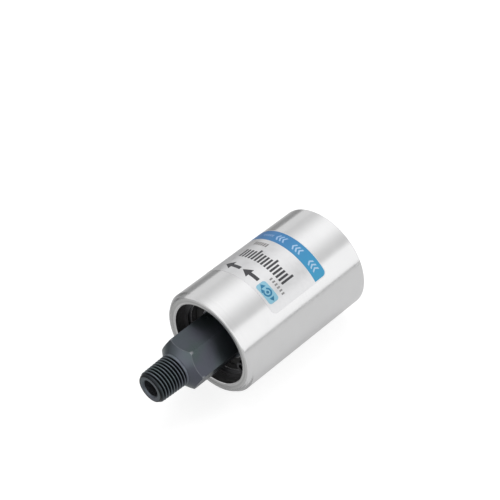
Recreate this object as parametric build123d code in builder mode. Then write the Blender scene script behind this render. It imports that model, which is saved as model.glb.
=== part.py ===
from build123d import *
from math import cos, radians, tan
import os

# A small rotary union for hydraulic oil. A plain round housing stands still and takes
# the supply at its rear port. A hexagon-and-nipple rotor screws into the machine and
# turns with it, on two caged ball bearings, and a spring-loaded carbon ring seals
# against a hard ring on the rotor's tail.
#
# Millimetres. The axis of rotation is Y: the rear port opens towards +Y at the origin,
# the rotor's nipple points to -Y, and +Z is up.

# Fits, each one a radial gap
seat_fit = 0.02
running_fit = 0.05
rolling_gap = 0.03

# Housing: its wall outside the bearings, its open front and the port at its rear
housing_wall = 4.5
front_lip = 4.5
front_chamfer = 1.0
front_chamfer_length = 1.45
front_rim_width = 0.85
front_rim_slope = 0.15
mouth_bevel = 0.25
rear_chamfer = 0.5
chamber_gap = 1.5
chamber_chamfer = 0.5
rear_wall = 4.5
port_diameter = 13.157
port_depth = 11.0
port_chamfer = 0.45

# Oil passage, and the walls outside it that make up the rotor's tail
flow_bore = 7.0
flow_bore_chamfer = 0.5
seal_bore_step = 0.5
spigot_wall = 2.2
journal_wall = 2.3

# Ball bearings, one size for both. The section is measured from the bore to the outside,
# and the balls take a fixed share of it.
bearing_section = 9.0
bearing_width = 10.0
bearing_corner = 0.5
ball_share = 0.5291
ball_count = 10
race_curve = 0.52
race_groove_depth = 0.75
cage_gap = 0.6
cage_sheet = 0.45
pocket_gap = 0.12
rivet_diameter = 1.0
rivet_head = 0.35
bearing_seal_width = 0.9
bearing_seal_setback = 0.3
bearing_seal_groove = 0.9
bearing_seal_rim = 1.0
bearing_seal_dish = 0.3
bearing_seal_lip_gap = 0.15

# Rings that space the bearings and hold them in the housing
spacer_width = 3.0
outer_spacer_wall = 2.5
inner_spacer_wall = 2.2
shim_width = 2.5
shim_wall = 2.6
ring_groove_gap = 0.1
bore_ring_thickness = 1.5
bore_ring_groove_depth = 1.0
bore_ring_back_width = 3.2
bore_ring_end_width = 2.2
bore_ring_lug_diameter = 4.6
bore_ring_lug_gap = 1.15
bore_ring_lug_angle = 13.0
bore_ring_hole = 2.5
bore_ring_turn = -15.0
shaft_ring_thickness = 1.0
shaft_ring_groove_depth = 0.4
shaft_ring_back_width = 2.4
shaft_ring_end_width = 1.7
shaft_ring_lug_diameter = 3.2
shaft_ring_lug_gap = 1.12
shaft_ring_lug_angle = 14.0
shaft_ring_hole = 1.6
shaft_ring_turn = 90.0

# Rotor, from its nipple back to its tail. The nipple is drawn at the root of its
# taper thread, as the rear port is drawn at the root of its own thread.
thread_tip_diameter = 12.782
thread_taper = 1 / 16
thread_height = 0.856
thread_length = 13.5
tip_chamfer = 0.3
hex_across_flats = 19.0
hex_face_inset = 2.6
hex_front_angle = 39.0
hex_rear_chamfer = 0.4
hex_cut_spare = 2.0
hex_stand_out = 17.0
hex_turn = 3.6
collar_length = 1.0
collar_step = 0.8
rotor_overhang = 3.5
tail_chamfer = 0.2

# Hard ring on the rotor's tail
seat_margin = 2.7
seat_thickness = 3.5
seat_chamfer = 0.3
spigot_length = 3.0
spigot_end_gap = 0.5
spigot_groove_width = 1.9
spigot_groove_depth = 1.2
drive_pin_diameter = 1.5
drive_pin_count = 2
drive_pin_rotor_depth = 2.0
drive_pin_seat_depth = 1.6
pin_end_gap = 0.1

# Carbon ring. Its nose lies a little inside and outside the carrier's tail, so that the
# oil's own pressure presses it only lightly against the hard ring.
carbon_length = 3.0
carbon_bore_step = 0.5
carbon_nose_length = 1.0
carbon_nose_inside = 1.4
carbon_nose_outside = 0.8

# Carrier of the carbon ring, and what presses, guides and seals it
carrier_tail_wall = 3.0
carrier_base = 1.5
carrier_pocket_depth = 2.3
carrier_pocket_wall = 0.8
carrier_chamfer = 0.4
seal_travel = 1.0
travel_spare = 0.3
spring_length = 5.5
spring_wire = 1.2
spring_gap = 0.65
spring_turns = 3
guide_pin_diameter = 2.0
guide_pin_gap = 0.85
guide_pin_inset = 1.3
guide_pin_count = 2
guide_pin_depth = 2.5
guide_pin_end_length = 0.5
guide_pin_chamfer = 0.25
guide_slot_gap = 0.15
gland_front_wall = 1.0
gland_groove_width = 2.0
gland_groove_depth = 1.3
oring_side_gap = 0.05
oring_roundness = 0.4

# Diameters that build up outwards from the oil passage
seal_bore = flow_bore + 2 * seal_bore_step
spigot_diameter = seal_bore + 2 * spigot_wall
bearing_bore = spigot_diameter + 2 * journal_wall
bearing_diameter = bearing_bore + 2 * bearing_section
ball_diameter = ball_share * bearing_section
housing_diameter = bearing_diameter + 2 * housing_wall
drive_pin_circle = (spigot_diameter + bearing_bore) / 2
tail_diameter = seal_bore + 2 * carrier_tail_wall
carbon_bore = seal_bore + 2 * carbon_bore_step
carbon_nose_inner = tail_diameter - 2 * carbon_nose_inside
carbon_nose_outer = tail_diameter + 2 * carbon_nose_outside
seat_diameter = carbon_nose_outer + 2 * seat_margin
spring_diameter = tail_diameter + spring_wire + 2 * spring_gap
guide_pin_circle = spring_diameter + spring_wire + 2 * guide_pin_gap + guide_pin_diameter
slot_width = guide_pin_diameter + 2 * guide_slot_gap
carbon_diameter = guide_pin_circle - slot_width - 2 * carrier_pocket_wall
carrier_diameter = guide_pin_circle + 2 * guide_pin_inset
chamber_diameter = carrier_diameter + 2 * chamber_gap

# Stations along the axis, from the rear port's mouth forwards
port_end = -port_depth
chamber_end = port_end - rear_wall
carrier_rear = chamber_end - spring_length
carbon_rear = carrier_rear - carrier_base
carbon_front = carbon_rear - carbon_length
seal_face = carbon_front - carbon_nose_length
rotor_rear = seal_face - seat_thickness
bearing_shoulder = rotor_rear - rotor_overhang
spacer_rear = bearing_shoulder - bearing_width
spacer_front = spacer_rear - spacer_width
shim_rear = spacer_front - bearing_width
shim_front = shim_rear - shim_width
bore_ring_front = shim_front - bore_ring_thickness
housing_front = bore_ring_front - front_lip
hex_front = housing_front - hex_stand_out
hex_rear = shim_rear - collar_length
tip_front = hex_front - thread_length
gland_front = chamber_end + gland_front_wall
gland_rear = gland_front + gland_groove_width
tail_rear = port_end - seal_travel - travel_spare
bearing_middles = {"rear": bearing_shoulder - bearing_width / 2, "front": shim_rear + bearing_width / 2}

# Radii that follow from the sizes above
housing_radius = housing_diameter / 2
bearing_seat_radius = bearing_diameter / 2 + seat_fit
bore_groove_radius = bearing_seat_radius + bore_ring_groove_depth
chamber_radius = chamber_diameter / 2
port_radius = port_diameter / 2
journal_radius = bearing_bore / 2 - seat_fit
shaft_groove_radius = journal_radius - shaft_ring_groove_depth
ball_radius = ball_diameter / 2
pitch_radius = (bearing_bore + bearing_diameter) / 4
outer_race_bottom = pitch_radius + ball_radius + rolling_gap
inner_race_bottom = pitch_radius - ball_radius - rolling_gap
outer_land = outer_race_bottom - race_groove_depth
inner_land = inner_race_bottom + race_groove_depth
flow_radius = flow_bore / 2
spigot_radius = spigot_diameter / 2
spigot_bore_radius = spigot_radius + running_fit
tail_radius = tail_diameter / 2
guide_bore_radius = tail_radius + running_fit
gland_radius = guide_bore_radius + gland_groove_depth
hex_corner_radius = hex_across_flats / 2 / cos(radians(30))


def face_plane(station):
    """The plane across the axis at a station, facing the front, with X right and Z up."""
    return Plane.XZ.offset(-station)


def outline(*points):
    """A closed outline of (radius, station) points, to be revolved about the axis."""
    with BuildSketch(Plane.XY) as profile:
        with BuildLine():
            Polyline(*points, close=True)
        make_face()
    return profile.sketch


def band(inner, outer, front, rear, corner=0.0):
    """The outline of a plain ring, its four corners chamfered where a corner size is given."""
    with BuildSketch(Plane.XY) as profile:
        with Locations(((inner + outer) / 2, (front + rear) / 2)):
            Rectangle(outer - inner, rear - front)
        if corner > 0:
            chamfer(profile.vertices(), corner)
    return profile.sketch


def squeezed_ring(inner, outer, front, rear):
    """The outline of an O-ring pressed flat between two walls and round at its sides."""
    corner = oring_roundness * min(outer - inner, rear - front)
    with BuildSketch(Plane.XY) as profile:
        with Locations(((inner + outer) / 2, (front + rear) / 2)):
            RectangleRounded(outer - inner, rear - front, corner)
    return profile.sketch


def lug(centre_radius, rim_radius, diameter, angle):
    """One ear of a retaining ring: a round end round its plier hole and a neck out to the rim."""
    inner = min(centre_radius, rim_radius)
    outer = max(centre_radius, rim_radius)
    with BuildSketch() as ear:
        with PolarLocations((inner + outer) / 2, 1, start_angle=angle):
            Rectangle(outer - inner, diameter)
        with PolarLocations(centre_radius, 1, start_angle=angle):
            Circle(diameter / 2)
    return ear.sketch


def bore_ring_shape():
    """Retaining ring for a bore: thickest at its back, with two plier ears turned inwards that
    clear the turning hexagon's corners."""
    rim = bore_groove_radius - ring_groove_gap
    inner = rim - (bore_ring_back_width + bore_ring_end_width) / 2
    shift = (bore_ring_back_width - bore_ring_end_width) / 2
    ear_centre = hex_corner_radius + bore_ring_lug_gap + bore_ring_lug_diameter / 2
    gap_reach = 2 * rim
    with BuildSketch() as shape:
        Circle(rim)
        with Locations((shift, 0)):
            Circle(inner, mode=Mode.SUBTRACT)
        with BuildLine():
            gap_half = gap_reach * tan(radians(bore_ring_lug_angle))
            Polyline((0, 0), (gap_reach, -gap_half), (gap_reach, gap_half), close=True)
        make_face(mode=Mode.SUBTRACT)
        for angle in (-bore_ring_lug_angle, bore_ring_lug_angle):
            add(lug(ear_centre, rim, bore_ring_lug_diameter, angle))
        Circle(rim, mode=Mode.INTERSECT)
        for angle in (-bore_ring_lug_angle, bore_ring_lug_angle):
            with PolarLocations(ear_centre, 1, start_angle=angle):
                Circle(bore_ring_hole / 2, mode=Mode.SUBTRACT)
    return shape.sketch


def shaft_ring_shape():
    """Retaining ring for a shaft: thickest at its back, with two plier ears turned outwards that
    clear the chamber's wall."""
    rim = shaft_groove_radius + ring_groove_gap
    outer = rim + (shaft_ring_back_width + shaft_ring_end_width) / 2
    shift = (shaft_ring_back_width - shaft_ring_end_width) / 2
    ear_centre = chamber_radius - shaft_ring_lug_gap - shaft_ring_lug_diameter / 2
    gap_reach = 2 * outer
    with BuildSketch() as shape:
        with Locations((-shift, 0)):
            Circle(outer)
        with BuildLine():
            gap_half = gap_reach * tan(radians(shaft_ring_lug_angle))
            Polyline((0, 0), (gap_reach, -gap_half), (gap_reach, gap_half), close=True)
        make_face(mode=Mode.SUBTRACT)
        for angle in (-shaft_ring_lug_angle, shaft_ring_lug_angle):
            add(lug(ear_centre, rim, shaft_ring_lug_diameter, angle))
        Circle(rim, mode=Mode.SUBTRACT)
        for angle in (-shaft_ring_lug_angle, shaft_ring_lug_angle):
            with PolarLocations(ear_centre, 1, start_angle=angle):
                Circle(shaft_ring_hole / 2, mode=Mode.SUBTRACT)
    return shape.sketch


def outer_race_profile(middle):
    """Outer bearing ring: ball groove inside, and a step at each side for a rubber seal."""
    outer = bearing_diameter / 2
    groove_length = bearing_seal_setback + bearing_seal_width
    with BuildSketch(Plane.XY) as profile:
        with Locations(((outer_land + outer) / 2, middle)):
            Rectangle(outer - outer_land, bearing_width)
        chamfer(profile.vertices().group_by(Axis.X)[-1], bearing_corner)
        for side in (-1, 1):
            with Locations((outer_land, middle + side * (bearing_width - groove_length) / 2)):
                Rectangle(2 * bearing_seal_groove, groove_length, mode=Mode.SUBTRACT)
        with Locations((outer_race_bottom - race_curve * ball_diameter, middle)):
            Circle(race_curve * ball_diameter, mode=Mode.SUBTRACT)
    return profile.sketch


def inner_race_profile(middle):
    """Inner bearing ring: ball groove outside, plain bore inside."""
    inner = bearing_bore / 2
    with BuildSketch(Plane.XY) as profile:
        with Locations(((inner + inner_land) / 2, middle)):
            Rectangle(inner_land - inner, bearing_width)
        chamfer(profile.vertices().group_by(Axis.X)[0], bearing_corner)
        with Locations((inner_race_bottom + race_curve * ball_diameter, middle)):
            Circle(race_curve * ball_diameter, mode=Mode.SUBTRACT)
    return profile.sketch


def bearing_seal_profile(face, side):
    """Rubber seal disc: a bead in the outer ring's step, a dished web and a lip over the inner ring."""
    front = face - side * bearing_seal_setback
    web = front - side * bearing_seal_dish
    back = front - side * bearing_seal_width
    rim = outer_land + bearing_seal_groove - seat_fit
    lip = inner_land + bearing_seal_lip_gap
    return outline(
        (rim, front),
        (rim - bearing_seal_rim, front),
        (rim - bearing_seal_rim - bearing_seal_dish, web),
        (lip + bearing_seal_rim + bearing_seal_dish, web),
        (lip + bearing_seal_rim, front),
        (lip + bearing_seal_dish, front),
        (lip, web),
        (lip, back),
        (rim, back),
    )


def keep(piece, name):
    """Label a finished piece and write it to its file."""
    piece.label = name
    export_step(piece, f"parts/{name}.step")


os.makedirs("parts", exist_ok=True)

# Housing: one turned bar, bored from the front for the bearings and the seal chamber
with BuildPart() as housing:
    revolve(
        outline(
            (bearing_seat_radius + mouth_bevel, housing_front),
            (housing_radius - front_chamfer - front_rim_width, housing_front),
            (housing_radius - front_chamfer, housing_front + front_rim_slope),
            (housing_radius, housing_front + front_rim_slope + front_chamfer_length),
            (housing_radius, -rear_chamfer),
            (housing_radius - rear_chamfer, 0),
            (port_radius + port_chamfer, 0),
            (port_radius, -port_chamfer),
            (port_radius, port_end),
            (guide_bore_radius, port_end),
            (guide_bore_radius, gland_rear),
            (gland_radius, gland_rear),
            (gland_radius, gland_front),
            (guide_bore_radius, gland_front),
            (guide_bore_radius, chamber_end),
            (chamber_radius, chamber_end),
            (chamber_radius, bearing_shoulder + chamber_chamfer),
            (chamber_radius + chamber_chamfer, bearing_shoulder),
            (bearing_seat_radius, bearing_shoulder),
            (bearing_seat_radius, shim_front + ring_groove_gap),
            (bore_groove_radius, shim_front + ring_groove_gap),
            (bore_groove_radius, bore_ring_front),
            (bearing_seat_radius, bore_ring_front),
            (bearing_seat_radius, housing_front + mouth_bevel),
        ),
        axis=Axis.Y,
    )
    # Blind holes for the guide pins, in the rear wall of the seal chamber
    with BuildSketch(face_plane(chamber_end + guide_pin_depth)):
        with PolarLocations(guide_pin_circle / 2, guide_pin_count):
            Circle(guide_pin_diameter / 2 + seat_fit)
    extrude(amount=guide_pin_depth, mode=Mode.SUBTRACT)
keep(housing.part, "housing")

# Rotor: nipple, wrench hexagon, bearing journal and tail, from one bar
tip_radius = thread_tip_diameter / 2 - thread_height
nipple_end_radius = tip_radius + thread_length * thread_taper / 2
collar_radius = inner_land - collar_step
hex_cut_radius = hex_corner_radius + hex_cut_spare
hex_face_radius = hex_across_flats / 2 - hex_face_inset
front_cut = (hex_cut_radius - hex_face_radius) * tan(radians(hex_front_angle))
rear_cut = hex_cut_radius - hex_corner_radius + hex_rear_chamfer
spigot_bore_end = rotor_rear - spigot_length - spigot_end_gap

with BuildPart() as rotor:
    with BuildSketch(face_plane(hex_rear)):
        RegularPolygon(hex_across_flats / 2, 6, major_radius=False, rotation=hex_turn)
    extrude(amount=hex_rear - hex_front)
    # The hexagon's corners are turned to a cone at the front and eased at the rear
    revolve(
        outline(
            (0, hex_front),
            (hex_face_radius, hex_front),
            (hex_cut_radius, hex_front + front_cut),
            (hex_cut_radius, hex_rear - rear_cut),
            (hex_corner_radius - hex_rear_chamfer, hex_rear),
            (0, hex_rear),
        ),
        axis=Axis.Y,
        mode=Mode.INTERSECT,
    )
    revolve(
        outline(
            (0, tip_front),
            (tip_radius - tip_chamfer, tip_front),
            (tip_radius, tip_front + tip_chamfer),
            (nipple_end_radius, hex_front),
            (nipple_end_radius, hex_rear),
            (collar_radius, hex_rear),
            (collar_radius, shim_rear),
            (journal_radius, shim_rear),
            (journal_radius, bearing_shoulder),
            (shaft_groove_radius, bearing_shoulder),
            (shaft_groove_radius, bearing_shoulder + shaft_ring_thickness + ring_groove_gap),
            (journal_radius, bearing_shoulder + shaft_ring_thickness + ring_groove_gap),
            (journal_radius, rotor_rear - tail_chamfer),
            (journal_radius - tail_chamfer, rotor_rear),
            (0, rotor_rear),
        ),
        axis=Axis.Y,
    )
    # The oil passage, with the bore for the hard ring's spigot at its rear end
    revolve(
        outline(
            (0, tip_front),
            (flow_radius + flow_bore_chamfer, tip_front),
            (flow_radius, tip_front + flow_bore_chamfer),
            (flow_radius, spigot_bore_end),
            (spigot_bore_radius, spigot_bore_end),
            (spigot_bore_radius, rotor_rear),
            (0, rotor_rear),
        ),
        axis=Axis.Y,
        mode=Mode.SUBTRACT,
    )
    with BuildSketch(face_plane(rotor_rear)):
        with PolarLocations(drive_pin_circle / 2, drive_pin_count):
            Circle(drive_pin_diameter / 2 + seat_fit)
    extrude(amount=drive_pin_rotor_depth, mode=Mode.SUBTRACT)
keep(rotor.part, "rotor")

# Two deep-groove ball bearings. Each cage is two pressed ribbons riveted together: flat
# between the balls, and bulged into a shell round each ball.
shell_radius = ball_radius + pocket_gap + cage_sheet
poles_outwards = (0, 90, 0)
cage_inner_radius = inner_land + cage_gap
cage_outer_radius = outer_land - cage_gap

for place, middle in bearing_middles.items():
    with BuildPart() as outer_ring:
        revolve(outer_race_profile(middle), axis=Axis.Y)
    keep(outer_ring.part, f"{place}_bearing_outer_ring")

    with BuildPart() as inner_ring:
        revolve(inner_race_profile(middle), axis=Axis.Y)
    keep(inner_ring.part, f"{place}_bearing_inner_ring")

    with BuildPart(face_plane(middle)) as balls:
        with PolarLocations(pitch_radius, ball_count):
            Sphere(ball_radius)
    keep(balls.part, f"{place}_bearing_balls")

    with BuildPart(face_plane(middle)) as cage:
        Cylinder(cage_outer_radius, 2 * cage_sheet)
        with PolarLocations(pitch_radius, ball_count):
            Sphere(shell_radius, rotation=poles_outwards)
        Cylinder(cage_outer_radius, 2 * shell_radius, mode=Mode.INTERSECT)
        Cylinder(cage_inner_radius, 3 * shell_radius, mode=Mode.SUBTRACT)
        with PolarLocations(pitch_radius, ball_count, start_angle=180 / ball_count):
            Cylinder(rivet_diameter / 2, 2 * (cage_sheet + rivet_head))
        with PolarLocations(pitch_radius, ball_count):
            Sphere(ball_radius + pocket_gap, rotation=poles_outwards, mode=Mode.SUBTRACT)
    keep(cage.part, f"{place}_bearing_cage")

    for side_name, side in {"front": -1, "rear": 1}.items():
        with BuildPart() as bearing_seal:
            revolve(bearing_seal_profile(middle + side * bearing_width / 2, side), axis=Axis.Y)
        keep(bearing_seal.part, f"{place}_bearing_{side_name}_seal")

# Rings between the bearings, and the ring that takes up the end play in front of them
with BuildPart() as outer_spacer:
    outer = bearing_diameter / 2
    revolve(band(outer - outer_spacer_wall, outer, spacer_front, spacer_rear, seat_chamfer), axis=Axis.Y)
keep(outer_spacer.part, "outer_spacer")

with BuildPart() as inner_spacer:
    inner = bearing_bore / 2
    revolve(band(inner, inner + inner_spacer_wall, spacer_front, spacer_rear, seat_chamfer), axis=Axis.Y)
keep(inner_spacer.part, "inner_spacer")

with BuildPart() as end_play_shim:
    outer = bearing_diameter / 2
    revolve(band(outer - shim_wall, outer, shim_front, shim_rear), axis=Axis.Y)
keep(end_play_shim.part, "end_play_shim")

# Retaining rings, each in its groove against the face that it holds
with BuildPart() as bore_retaining_ring:
    with BuildSketch(face_plane(shim_front)):
        add(bore_ring_shape().rotate(Axis.Z, bore_ring_turn))
    extrude(amount=bore_ring_thickness)
keep(bore_retaining_ring.part, "bore_retaining_ring")

with BuildPart() as shaft_retaining_ring:
    with BuildSketch(face_plane(bearing_shoulder + shaft_ring_thickness)):
        add(shaft_ring_shape().rotate(Axis.Z, shaft_ring_turn))
    extrude(amount=shaft_ring_thickness)
keep(shaft_retaining_ring.part, "shaft_retaining_ring")

# Hard ring on the rotor's tail: a lapped disc with a spigot, its O-ring and two drive pins
seat_radius = seat_diameter / 2
spigot_front = rotor_rear - spigot_length
spigot_groove_front = rotor_rear - (spigot_length + spigot_groove_width) / 2
spigot_groove_rear = spigot_groove_front + spigot_groove_width
spigot_groove_radius = spigot_radius - spigot_groove_depth

with BuildPart() as rotating_seal_ring:
    revolve(
        outline(
            (seal_bore / 2, seal_face),
            (seat_radius - seat_chamfer, seal_face),
            (seat_radius, seal_face - seat_chamfer),
            (seat_radius, rotor_rear),
            (spigot_radius, rotor_rear),
            (spigot_radius, spigot_groove_rear),
            (spigot_groove_radius, spigot_groove_rear),
            (spigot_groove_radius, spigot_groove_front),
            (spigot_radius, spigot_groove_front),
            (spigot_radius, spigot_front),
            (seal_bore / 2, spigot_front),
        ),
        axis=Axis.Y,
    )
    with BuildSketch(face_plane(rotor_rear + drive_pin_seat_depth)):
        with PolarLocations(drive_pin_circle / 2, drive_pin_count):
            Circle(drive_pin_diameter / 2 + running_fit)
    extrude(amount=drive_pin_seat_depth, mode=Mode.SUBTRACT)
keep(rotating_seal_ring.part, "rotating_seal_ring")

with BuildPart() as rotating_oring:
    revolve(
        squeezed_ring(
            spigot_groove_radius + seat_fit,
            spigot_bore_radius - seat_fit,
            spigot_groove_front + oring_side_gap,
            spigot_groove_rear - oring_side_gap,
        ),
        axis=Axis.Y,
    )
keep(rotating_oring.part, "rotating_oring")

with BuildPart() as drive_pins:
    drive_pin_rear = rotor_rear + drive_pin_seat_depth - pin_end_gap
    with BuildSketch(face_plane(drive_pin_rear)):
        with PolarLocations(drive_pin_circle / 2, drive_pin_count):
            Circle(drive_pin_diameter / 2)
    extrude(amount=drive_pin_rear - rotor_rear + drive_pin_rotor_depth)
keep(drive_pins.part, "drive_pins")

# Carbon ring: its lapped nose runs on the hard ring
carbon_radius = carbon_diameter / 2

with BuildPart() as carbon_seal_ring:
    revolve(
        outline(
            (carbon_bore / 2, carbon_rear),
            (carbon_radius, carbon_rear),
            (carbon_radius, carbon_front),
            (carbon_nose_outer / 2, carbon_front),
            (carbon_nose_outer / 2, seal_face),
            (carbon_nose_inner / 2, seal_face),
            (carbon_nose_inner / 2, carbon_front),
            (carbon_bore / 2, carbon_front),
        ),
        axis=Axis.Y,
    )
keep(carbon_seal_ring.part, "carbon_seal_ring")

# Carrier: a cup for the carbon ring, a slotted flange and a tail that slides in the rear wall
pocket_radius = carbon_radius + seat_fit
carrier_radius = carrier_diameter / 2
carrier_front = carbon_rear - carrier_pocket_depth
slot_reach = carrier_radius - guide_pin_circle / 2 + slot_width

with BuildPart() as seal_carrier:
    revolve(
        outline(
            (seal_bore / 2, carbon_rear),
            (pocket_radius, carbon_rear),
            (pocket_radius, carrier_front),
            (carrier_radius - carrier_chamfer, carrier_front),
            (carrier_radius, carrier_front + carrier_chamfer),
            (carrier_radius, carrier_rear),
            (tail_radius, carrier_rear),
            (tail_radius, tail_rear - carrier_chamfer),
            (tail_radius - carrier_chamfer, tail_rear),
            (seal_bore / 2, tail_rear),
        ),
        axis=Axis.Y,
    )
    with BuildSketch(face_plane(carrier_rear)):
        with PolarLocations(guide_pin_circle / 2, guide_pin_count):
            Circle(slot_width / 2)
            with Locations((slot_reach / 2, 0)):
                Rectangle(slot_reach, slot_width)
    extrude(amount=carrier_rear - carrier_front, mode=Mode.SUBTRACT)
keep(seal_carrier.part, "seal_carrier")

with BuildPart() as guide_pins:
    with BuildSketch(face_plane(chamber_end + guide_pin_depth)):
        with PolarLocations(guide_pin_circle / 2, guide_pin_count):
            Circle(guide_pin_diameter / 2)
    extrude(amount=guide_pin_depth + spring_length + carrier_base + guide_pin_end_length)
    chamfer(guide_pins.faces().filter_by(Axis.Y).group_by(Axis.Y)[0].edges(), guide_pin_chamfer)
keep(guide_pins.part, "guide_pins")

with BuildPart() as gland_oring:
    revolve(
        squeezed_ring(
            guide_bore_radius,
            gland_radius - seat_fit,
            gland_front + oring_side_gap,
            gland_rear - oring_side_gap,
        ),
        axis=Axis.Y,
    )
keep(gland_oring.part, "gland_oring")

# Coil spring between the carrier's flange and the rear wall, its ends ground flat
with BuildPart() as seal_spring:
    with BuildLine() as coil:
        Helix(
            pitch=spring_length / spring_turns,
            height=spring_length,
            radius=spring_diameter / 2,
            center=(0, carrier_rear, 0),
            direction=(0, 1, 0),
        )
    with BuildSketch(Plane(coil.line @ 0, z_dir=coil.line % 0)):
        Circle(spring_wire / 2)
    sweep(is_frenet=True)
    split(bisect_by=face_plane(carrier_rear), keep=Keep.BOTTOM)
    split(bisect_by=face_plane(chamber_end), keep=Keep.TOP)
keep(seal_spring.part, "seal_spring")
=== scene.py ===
from math import cos, pi, radians, sin, sqrt

import bmesh
import bpy
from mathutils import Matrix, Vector


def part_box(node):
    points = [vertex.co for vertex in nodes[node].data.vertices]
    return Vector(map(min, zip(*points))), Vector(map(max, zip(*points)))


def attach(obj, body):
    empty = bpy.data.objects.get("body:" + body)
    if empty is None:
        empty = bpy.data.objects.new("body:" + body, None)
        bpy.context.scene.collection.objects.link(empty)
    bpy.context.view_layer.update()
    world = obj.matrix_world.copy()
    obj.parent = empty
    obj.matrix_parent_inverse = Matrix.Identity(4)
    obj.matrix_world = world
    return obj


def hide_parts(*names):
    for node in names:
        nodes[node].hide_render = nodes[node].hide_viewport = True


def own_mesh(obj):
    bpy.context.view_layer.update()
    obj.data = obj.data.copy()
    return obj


# Looks of the rotary union. Metres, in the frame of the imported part: the axis of rotation
# is Y, the rear port opens to +Y at the origin and the nipple points to -Y.

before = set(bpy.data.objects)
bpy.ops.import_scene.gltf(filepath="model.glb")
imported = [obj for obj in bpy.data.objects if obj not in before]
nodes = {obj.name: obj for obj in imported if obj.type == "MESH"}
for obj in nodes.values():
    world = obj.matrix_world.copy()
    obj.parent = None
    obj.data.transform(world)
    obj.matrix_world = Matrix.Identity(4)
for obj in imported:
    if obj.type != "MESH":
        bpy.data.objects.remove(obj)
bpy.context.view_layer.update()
mm = 0.001

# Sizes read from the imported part
housing_low, housing_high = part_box("housing")
rotor_low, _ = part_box("rotor")
spring_low, spring_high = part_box("seal_spring")
housing_radius = housing_high.x
floor_level = housing_low.z
tip_front = rotor_low.y
chamber_end = spring_high.y
carrier_rear = spring_low.y

# The housing's front end: the radius of its mouth and how far to the rear its bore reaches, as far
# as the shade painted in it goes, where the face gives way to the rounded rim, how wide that is,
# where the chamfer starts, and how far to the rear the rounding fades out
mouth_radius = 17.6 * mm
bore_rear = -12 * mm
rim_radius = 19.9 * mm
rim_width = 0.6 * mm
edge_radius = 20.9 * mm
edge_full = 1.5 * mm
edge_faded = 1.8 * mm

# Camera, where the photograph was taken from
camera_place = (287.86 * mm, -348.5 * mm, 436.12 * mm)
camera_azimuth = 43.212
camera_elevation = 43.78
camera_lens = 113.68

# Pipe thread, male on the nipple and female in the rear port
thread_pitch = 1.337 * mm
thread_height = 0.856 * mm
thread_taper = 1 / 16
thread_columns = 96
thread_sink = 0.2 * mm
nipple_root_radius = 5.535 * mm
nipple_length = 13.5 * mm
nipple_tip_radius = 5.6 * mm
nipple_lead_slope = 0.62
nipple_runout = 1.3 * mm
nipple_face_inset = 0.35 * mm
port_wall_radius = 6.5785 * mm
port_thread_start = -0.45 * mm
port_thread_end = -9.6 * mm
port_thread_runout = 1.3 * mm
thread_cover = 0.012 * mm

# Seal spring: its wire, its turns and how much closer these lie at its ends
spring_wire = 1.2 * mm
spring_turns = 3
spring_end_closing = 0.35

# The hexagon's front cone, by its place, the radius it starts at and how fast it spreads, and how
# far from the axis and from the hexagon's front its corners are painted pale, as wear and as a
# painted highlight
hex_front = tip_front + nipple_length
hex_face_radius = 6.9 * mm
cone_spread = 1.235
hex_corner_radius = 10.9 * mm
cone_depth = 4.6 * mm

# One pitch of the thread as (share of the pitch, share of the height), round at root and crest
thread_rise = [(0.0, 0.0), (0.06, 0.01), (0.10, 0.07), (0.14, 0.17), (0.25, 0.50), (0.36, 0.83)]
thread_rise += [(0.40, 0.93), (0.44, 0.99)]
thread_fall = [(1 - share, height) for share, height in thread_rise[:0:-1]]
thread_profile = thread_rise + [(0.5, 1.0)] + thread_fall

# Label: a film wrapped round the housing, read by its places along and round the housing
label_rear = -17.1 * mm
label_front = -47.2 * mm
label_end_angle = radians(50.0)
label_length = 51 * mm
label_corner = 2.2 * mm
label_lift = 0.03 * mm
label_border = 0.4 * mm
band_width = 6.2 * mm
ink_lift = 0.045 * mm
ink_thickness = 0.02 * mm
badge_start = 12.9 * mm
badge_length = 9.0 * mm
badge_rear = -41.1 * mm
badge_width = 5.0 * mm
badge_corner = 1.2 * mm

# Where the inks' colours start and end their change, across the object
ink_from = -14 * mm
ink_to = 22 * mm

# Chevrons on the band in millimetres: their places, half height, stroke and reach
chevron_sets = [
    ((3.6, 5.2, 6.8, 12.4, 14.0, 15.6, 20.6, 22.2, 23.8), 1.5, 0.75, 0.9),
    ((27.0, 28.2, 29.4, 30.6, 31.8), 0.6, 0.5, 0.4),
]

# Scale of ticks, each fifth one long
tick_count = 15
tick_from = 7.2 * mm
tick_pitch = 1.62 * mm
tick_width = 0.95 * mm
tick_front = -36.6 * mm
short_tick_rear = -31.6 * mm
long_tick_rear = -30.2 * mm

# Two flow arrows
arrow_starts = (14.2 * mm, 23.4 * mm)
arrow_middle = -42.8 * mm
arrow_length = 8.0 * mm
shaft_length = 4.4 * mm
shaft_half = 0.8 * mm
head_half = 2.3 * mm

# Two rows of six small dashes, each as (first place, pitch, width, front, rear)
dash_rows = [
    (4.2 * mm, 1.4 * mm, 0.7 * mm, -39.3 * mm, -37.9 * mm),
    (24.4 * mm, 1.25 * mm, 0.85 * mm, -27.9 * mm, -25.9 * mm),
]

# Floor: its half width, and how it gets lighter across the object, as metal sees it
floor_half = 3.0
floor_dark_until = -0.112
floor_light_from = -0.01

# Studio round the object, by the angle about its axis: 0 is overhead, positive angles lean to
# +X and negative ones to -X. Each panel is (level, rises from, full at, full until, falls to).
# To metal it goes dark from the gap at the right horizon down and below the left horizon, and it
# is bright straight ahead of the nipple. To what isn't metal it has one even level.
wall_level = 0.66
even_level = 0.84
studio_panels = [
    (0.385, -58, -16, -8, 34),
    (0.37, 36.5, 48.5, 86.5, 88.7),
    (0.07, -92, -88, -70, -60),
]
below_level = 0.04
front_level = 1.5
horizon_gap = (88.5, 89.3)
left_horizon = (92.0, 96.0)
front_from = (0.7, 0.92)

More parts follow.
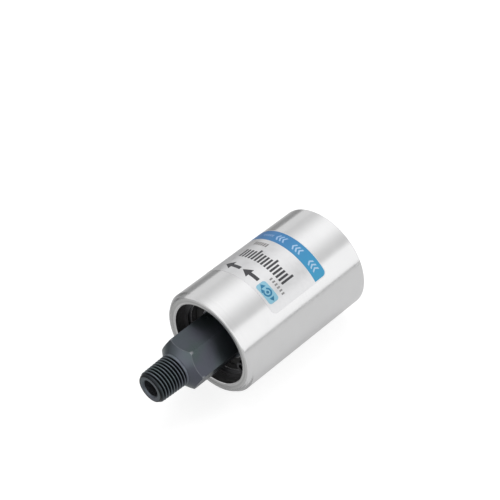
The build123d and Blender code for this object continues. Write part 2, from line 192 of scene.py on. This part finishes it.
# The one lamp, which lights what isn't metal
lamp_place = (-0.15, 0.05, 0.9)
lamp_target = (0, -0.045, 0)
lamp_size = 0.5
lamp_power = 2.4


def material(name, **values):
    """A material with its shader's sockets set, and its node tree and shader."""
    made = bpy.data.materials.new(name)
    made.use_nodes = True
    shader = made.node_tree.nodes["Principled BSDF"]
    for socket, value in values.items():
        shader.inputs[socket.replace("_", " ")].default_value = value
    return made, made.node_tree, shader


def add(tree, kind, inputs=(), **settings):
    """A node with its settings, and its inputs set to values or joined to other nodes' outputs."""
    made = tree.nodes.new("ShaderNode" + kind)
    for key, value in settings.items():
        setattr(made, key, value)
    for key, value in dict(inputs).items():
        if isinstance(value, bpy.types.NodeSocket):
            tree.links.new(value, made.inputs[key])
        else:
            made.inputs[key].default_value = value
    return made


def calc(tree, operation, a, b=0.0):
    return add(tree, "Math", {0: a, 1: b}, operation=operation).outputs[0]


def ramp(tree, factor, stops):
    """A colour ramp, each stop a place from 0 to 1 and a colour or a grey level."""
    made = add(tree, "ValToRGB", {"Fac": factor})
    elements = made.color_ramp.elements
    while len(elements) < len(stops):
        elements.new(0.5)
    for element, (place, colour) in zip(elements, stops):
        element.position = place
        element.color = (*colour, 1) if isinstance(colour, tuple) else (colour, colour, colour, 1)
    return made.outputs["Color"]


def noise(tree, place, scale, detail):
    return add(tree, "TexNoise", {"Vector": place, "Scale": scale, "Detail": detail}).outputs["Fac"]


def axis_parts(tree):
    """Object coordinates, the same split into X, Y and Z, and the distance from the axis."""
    place = add(tree, "TexCoord").outputs["Object"]
    parts = add(tree, "SeparateXYZ", {0: place})
    across = calc(tree, "POWER", parts.outputs["X"], 2.0)
    upward = calc(tree, "POWER", parts.outputs["Z"], 2.0)
    radius = calc(tree, "SQRT", calc(tree, "ADD", across, upward))
    return place, parts, radius


def lathe_marks(tree, parts, radius, per_metre):
    """Noise that changes only along and across the axis, as a turning tool leaves it."""
    travel = calc(tree, "ADD", parts.outputs["Y"], calc(tree, "MULTIPLY", radius, 0.73))
    marks = add(tree, "TexNoise", {"W": travel, "Scale": per_metre, "Detail": 4.0},
                noise_dimensions="1D")
    return marks.outputs["Fac"]


def lathe_tone(tree, place, marks):
    """Tool marks mixed with the faint clouds that handling leaves."""
    handling = noise(tree, place, 160.0, 3.0)
    return calc(tree, "ADD", calc(tree, "MULTIPLY", marks, 0.6),
                calc(tree, "MULTIPLY", handling, 0.4))


def lathe_relief(tree, marks, edge):
    """Shading normal of fine tool marks and slightly eased edges."""
    eased = add(tree, "Bevel", {"Radius": edge}, samples=4).outputs[0]
    return add(tree, "Bump", {"Strength": 0.25, "Distance": 0.03 * mm, "Height": marks,
                              "Normal": eased}).outputs[0]


def stretch_round_axis(tree, shader):
    """Reflections stretched along the tool marks, round the axis."""
    tangent = add(tree, "Tangent", direction_type="RADIAL", axis="Y")
    tree.links.new(tangent.outputs[0], shader.inputs["Tangent"])


def over_noise(tree, tone, low, high):
    """A value that goes from low to high over the middle range of a noise."""
    return add(tree, "MapRange", {"Value": tone, "From Min": 0.3, "From Max": 0.7,
                                  "To Min": low, "To Max": high}).outputs[0]


def turned_metal(name, colour, roughness, anisotropic, spread=0.06, per_metre=2600.0,
                 edge=0.12 * mm):
    """Metal turned on a lathe: fine rings, stretched reflections and slightly eased edges."""
    made, tree, shader = material(name, Metallic=1.0, Anisotropic=anisotropic)
    place, parts, radius = axis_parts(tree)
    marks = lathe_marks(tree, parts, radius, per_metre)
    tone = lathe_tone(tree, place, marks)
    dull = tuple(channel * (1 - spread) for channel in colour)
    tree.links.new(ramp(tree, tone, [(0.3, dull), (0.7, colour)]), shader.inputs["Base Color"])
    rough = over_noise(tree, tone, roughness * 0.8, roughness * 1.2)
    tree.links.new(rough, shader.inputs["Roughness"])
    tree.links.new(lathe_relief(tree, marks, edge), shader.inputs["Normal"])
    stretch_round_axis(tree, shader)
    return made


def smooth_step(tree, value, start, end):
    """Soft rise from 0 at the start to 1 at the end."""
    return add(tree, "MapRange", {"Value": value, "From Min": start, "From Max": end},
               interpolation_type="SMOOTHSTEP").outputs[0]


def mixed(tree, share, first, second):
    """The first colour or vector, changed to the second by a share."""
    return add(tree, "MixRGB", {"Fac": share, "Color1": first, "Color2": second}).outputs[0]


def grey(level):
    return level, level, level, 1


def housing_metal():
    """Turned bare aluminium: polished round the outside; duller and ringed by the tool on the end
    faces, which are also painted darker as shade; dull in the bore and painted dark there as shade.
    The front edge is rounded off smoothly."""
    made, tree, shader = material("housing_aluminium", Metallic=1.0, Anisotropic=0.5)
    place, parts, radius = axis_parts(tree)
    normal = add(tree, "SeparateXYZ", {0: add(tree, "NewGeometry").outputs["True Normal"]})
    facing_end = smooth_step(tree, calc(tree, "ABSOLUTE", normal.outputs["Y"]), 0.9, 0.97)
    inside_rim = calc(tree, "SUBTRACT", 1.0,
                      smooth_step(tree, radius, rim_radius, rim_radius + 0.5 * mm))
    on_face = calc(tree, "MULTIPLY", facing_end, inside_rim)
    # Painted shade: the front bore, where the colour is darkened as the shade inside the recess
    shaded_bore = calc(tree, "MULTIPLY", calc(tree, "LESS_THAN", radius, mouth_radius),
                   calc(tree, "LESS_THAN", parts.outputs["Y"], bore_rear))

    # Colour: fine tool marks outside, coarser rings on the faces with painted shade darkening them,
    # and painted shade in the bore
    marks = lathe_marks(tree, parts, radius, 2600.0)
    tone = lathe_tone(tree, place, marks)
    rings = add(tree, "TexNoise", {"W": radius, "Scale": 1500.0, "Detail": 2.0},
                noise_dimensions="1D").outputs["Fac"]
    outside = ramp(tree, tone, [(0.3, (0.83, 0.83, 0.835)), (0.7, (0.885, 0.885, 0.89))])
    # Painted shade: the end faces' ramp is darker than the outside, on top of the real tool rings
    ringed_and_shaded = ramp(tree, rings, [(0.35, (0.48, 0.48, 0.48)), (0.65, (0.66, 0.66, 0.655))])
    colour = mixed(tree, on_face, outside, ringed_and_shaded)
    # Painted shade in the bore: a dark colour where shade falls in the recess
    colour = mixed(tree, shaded_bore, colour, (0.29, 0.285, 0.28, 1))
    tree.links.new(colour, shader.inputs["Base Color"])

    polish = over_noise(tree, tone, 0.12, 0.18)
    rough = calc(tree, "ADD", polish, calc(tree, "MULTIPLY", on_face, 0.33))
    rough = calc(tree, "ADD", rough, calc(tree, "MULTIPLY", shaded_bore, 0.2))
    tree.links.new(rough, shader.inputs["Roughness"])

    # The normal leans outwards in three steps: over the face, the rim and the chamfer
    outward = add(tree, "CombineXYZ", {"X": parts.outputs["X"], "Z": parts.outputs["Z"]}).outputs[0]
    outward = add(tree, "VectorMath", {0: outward}, operation="NORMALIZE").outputs[0]
    leaning = 0.0
    for start, end, share in ((mouth_radius, rim_radius, 0.34),
                              (rim_radius, rim_radius + rim_width, 0.22),
                              (edge_radius, housing_radius, 0.44)):
        step = calc(tree, "MULTIPLY", smooth_step(tree, radius, start, end), share)
        leaning = calc(tree, "ADD", leaning, step)
    front = housing_low.y
    near_front = smooth_step(tree, parts.outputs["Y"], front + edge_faded, front + edge_full)
    rounding = calc(tree, "MULTIPLY", leaning, near_front)
    flat = lathe_relief(tree, marks, 0.12 * mm)
    turned = add(tree, "VectorMath", {0: mixed(tree, rounding, flat, outward)},
                 operation="NORMALIZE")
    tree.links.new(turned.outputs[0], shader.inputs["Normal"])
    stretch_round_axis(tree, shader)
    return made


def grained(name, colour, other, roughness, metallic=0.0, scale=900.0, bump_depth=0.01 * mm,
            **values):
    """A finish with soft changes of colour and a fine even grain."""
    made, tree, shader = material(name, Metallic=metallic, **values)
    place = add(tree, "TexCoord").outputs["Object"]
    cloud = noise(tree, place, scale / 5, 4.0)
    grain = noise(tree, place, scale * 4, 3.0)
    tree.links.new(ramp(tree, cloud, [(0.35, colour), (0.65, other)]), shader.inputs["Base Color"])
    rough = over_noise(tree, cloud, roughness * 0.88, roughness * 1.12)
    tree.links.new(rough, shader.inputs["Roughness"])
    bump = add(tree, "Bump", {"Strength": 0.3, "Distance": bump_depth, "Height": grain})
    tree.links.new(bump.outputs[0], shader.inputs["Normal"])
    return made


def blackened_steel(name="blackened_steel", threaded=False):
    """Black oxide on machined steel: bluish and greenish by turns, painted pale along the edges
    where the hexagon's flats meet its front cone and at its front corners, as wear and as a painted
    highlight, and on a thread painted black at the roots as shade and lighter at the crests as a
    painted highlight."""
    made, tree, shader = material(name, Metallic=0.9)
    place, parts, radius = axis_parts(tree)
    cloud = noise(tree, place, 95.0, 3.0)
    oxide = ramp(tree, cloud, [(0.35, (0.084, 0.11, 0.112)), (0.65, (0.11, 0.116, 0.145))])
    marks = lathe_marks(tree, parts, radius, 2200.0)
    colour = mixed(tree, calc(tree, "MULTIPLY", marks, 0.3), oxide, (0.06, 0.068, 0.075, 1))
    if threaded:
        root = calc(tree, "ADD", calc(tree, "MULTIPLY", parts.outputs["Y"], thread_taper / 2),
                    nipple_root_radius - tip_front * thread_taper / 2)
        height = calc(tree, "DIVIDE", calc(tree, "SUBTRACT", radius, root), thread_height)
        # Painted shade and highlight: the colour is darkened towards the thread's roots and lifted
        # above its own tone at the crests
        shade = ramp(tree, height, [(0.0, 0.12), (0.45, 0.3), (0.8, 0.95), (1.0, 1.7)])
        colour = add(tree, "MixRGB", {"Fac": 1.0, "Color1": colour, "Color2": shade},
                     blend_type="MULTIPLY").outputs[0]
    else:
        # Wear and painted highlight: pale along the edges of the flats at the front cone and at the
        # corners near the front
        normal = add(tree, "SeparateXYZ", {0: add(tree, "NewGeometry").outputs["True Normal"]})
        on_flat = calc(tree, "LESS_THAN", calc(tree, "ABSOLUTE", normal.outputs["Y"]), 0.1)
        past_front = calc(tree, "SUBTRACT", parts.outputs["Y"], hex_front)
        cone = calc(tree, "ADD", calc(tree, "MULTIPLY", past_front, cone_spread), hex_face_radius)
        to_edge = calc(tree, "SUBTRACT", cone, radius)
        edge = calc(tree, "SUBTRACT", 1.0, smooth_step(tree, to_edge, 0.1 * mm, 0.35 * mm))
        at_corner = smooth_step(tree, radius, hex_corner_radius - 0.4 * mm, hex_corner_radius)
        at_cone = calc(tree, "SUBTRACT", 1.0,
                       smooth_step(tree, past_front, cone_depth - 1.0 * mm, cone_depth))
        corner = calc(tree, "MULTIPLY", at_corner, at_cone)
        patchy_wear_and_highlight = noise(tree, place, 700.0, 2.0)
        along_edge = calc(tree, "MULTIPLY", calc(tree, "MULTIPLY", on_flat, edge), patchy_wear_and_highlight)
        wear_and_highlight = calc(tree, "ADD", along_edge, corner)
        # Pale colour standing for wear and for a painted highlight
        colour = mixed(tree, wear_and_highlight, colour, (0.27, 0.28, 0.3, 1))
    tree.links.new(colour, shader.inputs["Base Color"])
    tree.links.new(over_noise(tree, cloud, 0.26, 0.38), shader.inputs["Roughness"])
    grain = noise(tree, place, 5200.0, 2.0)
    eased = add(tree, "Bevel", {"Radius": 0.2 * mm}, samples=4)
    bump = add(tree, "Bump", {"Strength": 0.25, "Distance": 0.008 * mm, "Height": grain,
                              "Normal": eased.outputs[0]})
    tree.links.new(bump.outputs[0], shader.inputs["Normal"])
    return made


def printed(name, stops, roughness=0.32):
    """Ink under a clear film, its colour changing across the label."""
    made, tree, shader = material(name, Specular_IOR_Level=0.5)
    place, parts, _ = axis_parts(tree)
    across = add(tree, "MapRange", {"Value": parts.outputs["X"], "From Min": ink_from,
                                    "From Max": ink_to})
    tree.links.new(ramp(tree, across.outputs[0], stops), shader.inputs["Base Color"])
    speck = noise(tree, place, 3500.0, 2.0)
    rough = add(tree, "MapRange", {"Value": speck, "To Min": roughness * 0.85,
                                   "To Max": roughness * 1.15})
    tree.links.new(rough.outputs[0], shader.inputs["Roughness"])
    return made


finishes = {
    "housing_aluminium": housing_metal(),
    "blackened_steel": blackened_steel(),
    "blackened_spring_steel": grained("blackened_spring_steel", (0.05, 0.05, 0.055),
                                      (0.09, 0.09, 0.095), 0.38, metallic=0.9),
    "bearing_steel": turned_metal("bearing_steel", (0.66, 0.66, 0.68), 0.16, 0.5, edge=0.08 * mm),
    "cage_steel": grained("cage_steel", (0.46, 0.45, 0.43), (0.54, 0.53, 0.51), 0.3, metallic=1.0),
    "bearing_rubber": grained("bearing_rubber", (0.018, 0.018, 0.018), (0.028, 0.027, 0.026), 0.55),
    "oring_rubber": grained("oring_rubber", (0.02, 0.02, 0.02), (0.03, 0.03, 0.03), 0.42),
    "ground_steel": turned_metal("ground_steel", (0.48, 0.48, 0.49), 0.22, 0.4, per_metre=4200.0),
    "silicon_carbide": grained("silicon_carbide", (0.07, 0.07, 0.08), (0.11, 0.11, 0.12), 0.2,
                               Specular_IOR_Level=0.8),
    "carbon": grained("carbon", (0.035, 0.035, 0.036), (0.06, 0.06, 0.06), 0.45),
    "stainless_steel": turned_metal("stainless_steel", (0.6, 0.59, 0.57), 0.2, 0.4),
    "spring_wire": grained("spring_wire", (0.52, 0.51, 0.49), (0.6, 0.59, 0.57), 0.24,
                           metallic=1.0),
    "label_film": grained("label_film", (0.78, 0.78, 0.79), (0.82, 0.82, 0.83), 0.33, metallic=0.85,
                          scale=2400.0, bump_depth=0.004 * mm),
}

finish_of = {
    "housing": "housing_aluminium",
    "rotor": "blackened_steel",
    "bore_retaining_ring": "blackened_spring_steel",
    "shaft_retaining_ring": "blackened_spring_steel",
    "end_play_shim": "ground_steel",
    "outer_spacer": "ground_steel",
    "inner_spacer": "ground_steel",
    "drive_pins": "stainless_steel",
    "guide_pins": "stainless_steel",
    "seal_carrier": "stainless_steel",
    "rotating_seal_ring": "silicon_carbide",
    "carbon_seal_ring": "carbon",
    "rotating_oring": "oring_rubber",
    "gland_oring": "oring_rubber",
    "seal_spring": "spring_wire",
}
for place in ("front", "rear"):
    finish_of[f"{place}_bearing_outer_ring"] = "bearing_steel"
    finish_of[f"{place}_bearing_inner_ring"] = "bearing_steel"
    finish_of[f"{place}_bearing_balls"] = "bearing_steel"
    finish_of[f"{place}_bearing_cage"] = "cage_steel"
    finish_of[f"{place}_bearing_front_seal"] = "bearing_rubber"
    finish_of[f"{place}_bearing_rear_seal"] = "bearing_rubber"


def dress(piece, finish):
    """Give a piece one material and nothing else."""
    piece.data.materials.clear()
    piece.data.materials.append(finish)


def dress_cad():
    for name, piece in nodes.items():
        dress(piece, finishes[finish_of[name]])


def riding_piece(name, mesh, finish, body):
    """A smooth piece from a mesh, riding on a body."""
    piece = bpy.data.objects.new(name, mesh)
    bpy.context.scene.collection.objects.link(piece)
    for polygon in mesh.polygons:
        polygon.use_smooth = True
    dress(piece, finish)
    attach(piece, body)
    return piece


def mesh_piece(name, points, faces, finish, body):
    """A piece from points and faces, riding on a body."""
    mesh = bpy.data.meshes.new(name)
    mesh.from_pydata(points, [], faces)
    return riding_piece(name, mesh, finish, body)


def profile_height(share):
    """Height of the thread at a share of its pitch, from 0 at the root to 1 at the crest."""
    share = share % 1
    ends = thread_profile + [(1.0, 0.0)]
    for (before, low), (after, high) in zip(ends, ends[1:]):
        if share <= after:
            return low + (high - low) * (share - before) / (after - before)
    return 0.0


def thread_piece(name, start, end, surface, back, body, finish):
    """A right-hand thread from start to end along the axis, as a closed sleeve.

    surface gives the radius from the place along the axis and the thread's height there,
    and back gives the radius of the sleeve's hidden side.
    """
    rows_per_turn = len(thread_profile)
    turns = int((end - start) / thread_pitch) + 3
    mesh = bmesh.new()

    def vertex(place, angle, radius):
        return mesh.verts.new((radius * sin(angle), place, radius * cos(angle)))

    grid = []
    for column in range(thread_columns):
        angle = 2 * pi * column / thread_columns
        line = []
        for row in range(turns * rows_per_turn):
            share = thread_profile[row % rows_per_turn][0]
            along = start + thread_pitch * (row // rows_per_turn - 1 + share + angle / (2 * pi))
            place = min(max(along, start), end)
            height = profile_height((place - start) / thread_pitch - angle / (2 * pi))
            line.append(vertex(place, angle, surface(place, height)))
        line.insert(0, vertex(start, angle, back(start)))
        line.append(vertex(end, angle, back(end)))
        grid.append(line)
    for column in range(thread_columns):
        line = grid[column]
        if column + 1 < thread_columns:
            other = grid[column + 1]
            steps = [(row, row) for row in range(len(line))]
        else:
            other = grid[0]
            last = len(line) - 1
            steps = [(row, min(row + rows_per_turn, last - 1)) for row in range(1, last)]
            steps = [(0, 0)] + steps + [(last, last)]
        for (row, match), (next_row, next_match) in zip(steps, steps[1:]):
            corners = [line[row], line[next_row], other[next_match], other[match]]
            unique = list(dict.fromkeys(corners))
            if len(unique) > 2 and mesh.faces.get(unique) is None:
                mesh.faces.new(unique)
        mesh.faces.new([line[-1], line[0], other[0], other[-1]])
    bmesh.ops.remove_doubles(mesh, verts=mesh.verts, dist=1e-7)
    bmesh.ops.dissolve_degenerate(mesh, edges=mesh.edges, dist=1e-8)
    bmesh.ops.recalc_face_normals(mesh, faces=mesh.faces)
    data = bpy.data.meshes.new(name)
    mesh.to_mesh(data)
    mesh.free()
    return riding_piece(name, data, finish, body)


def nipple_thread():
    """Taper thread over the nipple's core: a bevelled lead at the tip, run out at the hexagon."""
    start = tip_front + 0.01 * mm
    end = tip_front + nipple_length - 0.01 * mm

    def surface(place, height):
        root = nipple_root_radius + (place - tip_front) * thread_taper / 2 + thread_cover
        crest = root + thread_height
        lead = nipple_tip_radius + (place - tip_front) * nipple_lead_slope
        fading = min(max((place - end + nipple_runout) / (0.6 * nipple_runout), 0), 1)
        threaded = root + thread_height * (height + (1 - height) * fading)
        return min(threaded, lead, crest)

    def back(place):
        return nipple_root_radius + (place - tip_front) * thread_taper / 2 - nipple_face_inset

    finish = blackened_steel("blackened_thread", threaded=True)
    return thread_piece("nipple_thread", start, end, surface, back, "rotor", finish)


def port_thread():
    """Parallel thread inside the rear port, with a bevelled lead at the mouth."""
    start = port_thread_end
    end = port_thread_start

    def surface(place, height):
        wall = port_wall_radius - thread_cover
        lead = wall - (end - place)
        fading = min(max((start + port_thread_runout - place) / port_thread_runout, 0), 1)
        threaded = wall - thread_height * height * (1 - fading)
        return max(threaded, lead)

    def back(place):
        return port_wall_radius + thread_sink

    finish = finishes["housing_aluminium"]
    return thread_piece("port_thread", start, end, surface, back, "housing", finish)


def spring_coil():
    """The seal spring with closed and ground ends."""
    radius = spring_high.x - spring_wire / 2
    sides = 14
    points, faces = [], []
    total = 72 * spring_turns
    for step in range(total + 1):
        share = step / total
        angle = 2 * pi * spring_turns * share
        eased = share - sin(2 * pi * share) / (2 * pi) * spring_end_closing
        middle = (carrier_rear + spring_wire / 2
                  + (chamber_end - carrier_rear - spring_wire) * eased)
        for side in range(sides):
            around = 2 * pi * side / sides
            out = radius + spring_wire / 2 * cos(around)
            place = middle + spring_wire / 2 * sin(around)
            place = min(max(place, carrier_rear), chamber_end)
            points.append((out * sin(angle), place, out * cos(angle)))
    for step in range(total):
        for side in range(sides):
            a = step * sides + side
            b = step * sides + (side + 1) % sides
            faces.append((a, b, b + sides, a + sides))
    faces.append(tuple(range(sides))[::-1])
    faces.append(tuple(range(total * sides, (total + 1) * sides)))
    spring = mesh_piece("spring_coil", points, faces, finishes["spring_wire"], "housing")
    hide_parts("seal_spring")
    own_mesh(spring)


def on_label(along, place, lift):
    """A point on the label: along it from its end near the camera, and its place on the axis."""
    angle = label_end_angle - along / housing_radius
    radius = housing_radius + lift
    return radius * sin(angle), place, radius * cos(angle)


def strip(pairs, lift):
    """Points and faces of a strip over the label, between pairs of (along, place) points."""
    points = [on_label(*corner, lift) for pair in pairs for corner in pair]
    faces = [(2 * i, 2 * i + 1, 2 * i + 3, 2 * i + 2) for i in range(len(pairs) - 1)]
    return points, faces


def spans(start, end, step=0.6 * mm):
    """Evenly spaced places from start to end."""
    count = max(1, int(abs(end - start) / step + 0.5))
    return [start + (end - start) * i / count for i in range(count + 1)]


def rounded(start, end, front, rear, corners):
    """Pairs of a rectangle with round corners, by (at start, at end) and (front, rear) radii."""
    front_start, rear_start, front_end, rear_end = corners
    places = set(spans(start, end))
    for corner in (front_start, rear_start):
        places |= {start + corner * (1 - cos(pi / 2 * i / 6)) for i in range(7) if corner}
    for corner in (front_end, rear_end):
        places |= {end - corner * (1 - cos(pi / 2 * i / 6)) for i in range(7) if corner}

    def inset(along, at_start, at_end):
        cut = 0.0
        for corner, edge in ((at_start, along - start), (at_end, end - along)):
            if corner and edge < corner:
                cut = max(cut, corner - sqrt(max(corner ** 2 - (corner - edge) ** 2, 0)))
        return cut

    return [((along, front + inset(along, front_start, front_end)),
             (along, rear - inset(along, rear_start, rear_end))) for along in sorted(places)]


def arrow_head(tip, base, middle, half):
    """Pairs of a triangle along the label, from its base to its tip."""
    return [((along, middle - half * abs(tip - along) / abs(tip - base)),
             (along, middle + half * abs(tip - along) / abs(tip - base)))
            for along in spans(base, tip, 0.25 * mm)]


def ring_arc(middle_along, middle_place, inner, outer, start, sweep):
    """Pairs of part of a ring, by its start and sweep in degrees."""
    count = max(6, int(abs(sweep) / 10))
    turns = [radians(start + sweep * i / count) for i in range(count + 1)]
    return [tuple((middle_along + radius * cos(turn), middle_place + radius * sin(turn))
                  for radius in (inner, outer)) for turn in turns]


def print_piece(name, strips, finish, lift):
    """One thin printed piece on the label from several strips."""
    points, faces = [], []
    for pairs in strips:
        base = len(points)
        more_points, more_faces = strip(pairs, lift)
        points += more_points
        faces += [tuple(base + index for index in face) for face in more_faces]
    piece = mesh_piece(name, points, faces, finish, "housing")
    shell = piece.modifiers.new("thickness", "SOLIDIFY")
    shell.thickness = ink_thickness
    shell.offset = -1 if outward(piece) else 1
    piece.modifiers.new("shading", "WEIGHTED_NORMAL")
    return piece


def outward(piece):
    """Whether a piece's first face looks away from the axis."""
    face = piece.data.polygons[0]
    return face.normal.x * face.center.x + face.normal.z * face.center.z > 0


def chevron(start, middle, half, width, reach):
    """Pairs of an arrow-shaped stroke across the label that points along it."""
    return [((start, middle - half), (start + width, middle - half)),
            ((start + reach, middle), (start + reach + width, middle)),
            ((start, middle + half), (start + width, middle + half))]


def bar(start, length, front, rear):
    """Pairs of a plain rectangle."""
    return rounded(start, start + length, front, rear, [0.0] * 4)


def label():
    """A plain film with a blue band, a blue badge and simple marks, with no words on it."""
    film = [rounded(0, label_length, label_front, label_rear, [label_corner] * 4)]
    print_piece("label_film", film, finishes["label_film"], label_lift)
    label_band()
    label_badge()

    # Where words would be, a plain scale of ticks, flow arrows and dashes
    black = printed("label_black", [(0.0, (0.04, 0.04, 0.045)), (1.0, (0.045, 0.045, 0.05))], 0.42)
    marks = []
    for tick in range(tick_count):
        rear = long_tick_rear if tick % 5 == 0 else short_tick_rear
        marks.append(bar(tick_from + tick * tick_pitch, tick_width, tick_front, rear))
    for start in arrow_starts:
        marks.append(bar(start, shaft_length, arrow_middle - shaft_half, arrow_middle + shaft_half))
        marks.append(arrow_head(start + arrow_length, start + shaft_length, arrow_middle,
                                head_half))
    print_piece("label_marks", marks, black, ink_lift)

    grey_ink = printed("label_grey", [(0.0, (0.2, 0.19, 0.19)), (1.0, (0.3, 0.3, 0.3))], 0.42)
    dashes = [bar(first + dash * pitch, width, front, rear)
              for dash in range(6) for first, pitch, width, front, rear in dash_rows]
    print_piece("label_fine_marks", dashes, grey_ink, ink_lift)


def label_band():
    """Blue band along the label's rear edge, with chevrons that point the way round."""
    blue = printed("label_blue", [(0.0, (0.03, 0.14, 0.34)), (0.4, (0.035, 0.2, 0.43)),
                                  (0.8, (0.04, 0.31, 0.54)), (1.0, (0.035, 0.35, 0.52))])
    white = printed("label_white", [(0.0, (0.27, 0.42, 0.68)), (1.0, (0.42, 0.62, 0.78))])
    rear = label_rear - label_border
    corner = label_corner - label_border
    band = rounded(label_border, label_length - label_border, rear - band_width, rear,
                   [0.0, corner, 0.0, corner])
    print_piece("label_band", [band], blue, ink_lift)
    chevrons = [chevron(along * mm, rear - band_width / 2, half * mm, width * mm, reach * mm)
                for places, half, width, reach in chevron_sets for along in places]
    print_piece("label_chevrons", chevrons, white, ink_lift + ink_thickness)


def label_badge():
    """Pale badge with a ring arrow round a dot for the turning rotor, and a flow arrow on
    either side."""
    pale = printed("label_badge_pale", [(0.0, (0.26, 0.5, 0.63)), (1.0, (0.24, 0.5, 0.63))])
    blue = printed("label_badge_blue", [(0.0, (0.02, 0.17, 0.34)), (1.0, (0.02, 0.2, 0.36))])
    badge_end = badge_start - badge_length
    badge = rounded(badge_end, badge_start, badge_rear - badge_width, badge_rear,
                    [badge_corner] * 4)
    print_piece("label_badge", [badge], pale, ink_lift)
    along = (badge_start + badge_end) / 2
    place = badge_rear - badge_width / 2
    ring = ring_arc(along, place, 1.15 * mm, 1.85 * mm, 20, 285)
    head = arrow_head(along + 2.5 * mm, along + 0.9 * mm, place - 1.35 * mm, 0.85 * mm)
    dot = ring_arc(along, place, 0.0, 0.6 * mm, 0, 360)
    flows = [arrow_head(badge_end + 0.5 * mm, badge_end + 2.1 * mm, place, 1.2 * mm),
             arrow_head(badge_start - 0.5 * mm, badge_start - 2.1 * mm, place, 1.2 * mm)]
    print_piece("label_badge_mark", [ring, head, dot] + flows, blue, ink_lift + ink_thickness)


def floor():
    """A white sheet. The camera sees it white with the object's soft shadow, and metal sees it
    pale grey, darker beyond its edge on the far left, as in a photographer's studio."""
    sheet = bpy.data.meshes.new("floor")
    sheet.from_pydata([(x * floor_half, y * floor_half, floor_level)
                       for x, y in ((-1, -1), (1, -1), (1, 1), (-1, 1))], [], [(0, 1, 2, 3)])
    piece = bpy.data.objects.new("floor", sheet)
    bpy.context.scene.collection.objects.link(piece)
    made = bpy.data.materials.new("floor")
    made.use_nodes = True
    tree = made.node_tree
    tree.nodes.clear()

    # What the camera sees
    seen_lit = add(tree, "BsdfDiffuse", {"Color": grey(0.36)})
    seen_glow = add(tree, "Emission", {"Color": grey(1), "Strength": 0.76})
    seen = add(tree, "AddShader", {0: seen_lit.outputs[0], 1: seen_glow.outputs[0]})

    # What metal sees
    across = add(tree, "SeparateXYZ", {0: add(tree, "TexCoord").outputs["Object"]}).outputs["X"]
    edge = add(tree, "MapRange", {"Value": across, "From Min": floor_dark_until,
                                  "From Max": floor_light_from}).outputs[0]
    shade = ramp(tree, edge, [(0.0, 0.14), (0.7, 0.29), (1.0, 0.31)])
    glow = ramp(tree, edge, [(0.0, 0.15), (0.7, 0.31), (1.0, 0.33)])
    felt_lit = add(tree, "BsdfDiffuse", {"Color": shade})
    felt_glow = add(tree, "Emission", {"Color": glow, "Strength": 1.0})
    felt = add(tree, "AddShader", {0: felt_lit.outputs[0], 1: felt_glow.outputs[0]})

    by_camera = add(tree, "LightPath").outputs["Is Camera Ray"]
    either = add(tree, "MixShader", {"Fac": by_camera, 1: felt.outputs[0], 2: seen.outputs[0]})
    output = tree.nodes.new("ShaderNodeOutputMaterial")
    tree.links.new(either.outputs[0], output.inputs["Surface"])
    sheet.materials.append(made)


def studio():
    """Soft studio light: even pale walls, white to the camera. Metal shows them with the wide
    soft panel overhead, one to the right that ends sharply at the table's far edge, and a faint
    one low on the left."""
    world = bpy.data.worlds.new("studio")
    bpy.context.scene.world = world
    world.use_nodes = True
    tree = world.node_tree
    tree.nodes.clear()
    parts = add(tree, "SeparateXYZ", {0: add(tree, "TexCoord").outputs["Generated"]})
    angle = calc(tree, "DEGREES", calc(tree, "ARCTAN2", parts.outputs["X"], parts.outputs["Z"]))
    level = wall_level
    for strength, rise_from, rise_to, fall_from, fall_to in studio_panels:
        risen = smooth_step(tree, angle, rise_from, rise_to)
        left = calc(tree, "SUBTRACT", 1.0, smooth_step(tree, angle, fall_from, fall_to))
        panel = calc(tree, "MULTIPLY", calc(tree, "MULTIPLY", risen, left), strength)
        level = calc(tree, "ADD", level, panel)
    gap = smooth_step(tree, angle, *horizon_gap)
    under = smooth_step(tree, calc(tree, "MULTIPLY", angle, -1.0), *left_horizon)
    level = mixed(tree, calc(tree, "MAXIMUM", gap, under), level, grey(below_level))
    forward = calc(tree, "MULTIPLY", parts.outputs["Y"], -1.0)
    level = mixed(tree, smooth_step(tree, forward, *front_from), level, grey(front_level))

    path = add(tree, "LightPath").outputs
    mirrored = calc(tree, "MAXIMUM", path["Is Glossy Ray"], path["Is Transmission Ray"])
    level = mixed(tree, mirrored, grey(even_level), level)
    level = mixed(tree, path["Is Camera Ray"], level, grey(1))
    sky = add(tree, "Background", {"Color": level, "Strength": 1.0})
    output = tree.nodes.new("ShaderNodeOutputWorld")
    tree.links.new(sky.outputs[0], output.inputs["Surface"])


def lamp():
    """A square soft light that looks at the object. Metal sees the studio, not the lamp."""
    light = bpy.data.lights.new("key", "AREA")
    light.size = lamp_size
    light.energy = lamp_power
    piece = bpy.data.objects.new("key", light)
    piece.location = lamp_place
    aim = Vector(lamp_target) - Vector(lamp_place)
    piece.rotation_euler = aim.to_track_quat("-Z", "Y").to_euler()
    piece.visible_glossy = False
    bpy.context.scene.collection.objects.link(piece)


def camera():
    view = bpy.data.cameras.new("camera")
    view.lens = camera_lens
    view.sensor_width = 36
    view.clip_start = 0.01
    view.clip_end = 10
    piece = bpy.data.objects.new("camera", view)
    azimuth, elevation = radians(camera_azimuth), radians(camera_elevation)
    back = Vector((sin(azimuth) * cos(elevation), -cos(azimuth) * cos(elevation), sin(elevation)))
    piece.location = camera_place
    piece.rotation_euler = (-back).to_track_quat("-Z", "Y").to_euler()
    bpy.context.scene.collection.objects.link(piece)
    bpy.context.scene.camera = piece


bpy.context.scene.view_settings.view_transform = "Standard"
dress_cad()
nipple_thread()
port_thread()
spring_coil()
label()
floor()
studio()
lamp()
camera()
